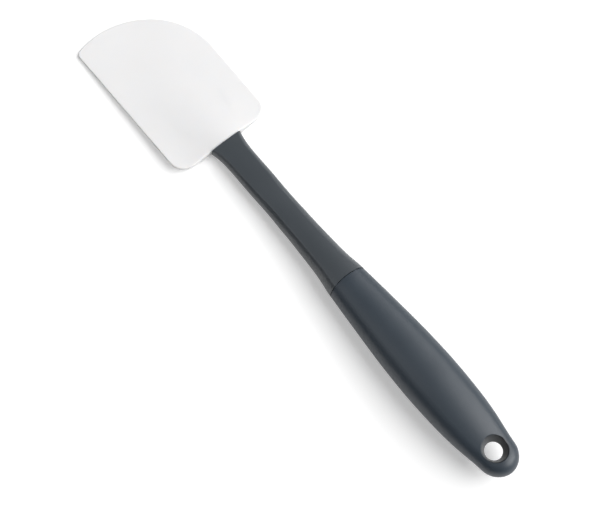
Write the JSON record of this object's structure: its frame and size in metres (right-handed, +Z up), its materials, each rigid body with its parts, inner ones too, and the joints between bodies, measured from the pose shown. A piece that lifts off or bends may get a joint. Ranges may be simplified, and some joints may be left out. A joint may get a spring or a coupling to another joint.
{
  "type": "silicone spatula",
  "caption": "Flat flexible silicone blade with one rounded shoulder on a slim rigid neck, with a thick oval soft grip and a hanging hole.",
  "frame": {"origin": "on the table under the middle of the tool as it lies", "axes": "+Y along the tool towards the blade's tip, +X to the blade's rounded shoulder, +Z up from the table"},
  "size_m": [0.0591, 0.3126, 0.0216],
  "materials": {
    "blade_silicone": "matt white silicone",
    "natural_nylon": "natural white nylon",
    "dark_nylon": "satin dark grey nylon",
    "core_plastic": "plain dark plastic",
    "soft_grip": "soft matt dark blue-grey thermoplastic rubber"
  },
  "bodies": {
    "root": {"blade": "blade_silicone", "blade_core": "natural_nylon", "shaft": "dark_nylon", "grip_core": "core_plastic", "grip_sleeve": "soft_grip"}
  },
  "joints": []
}
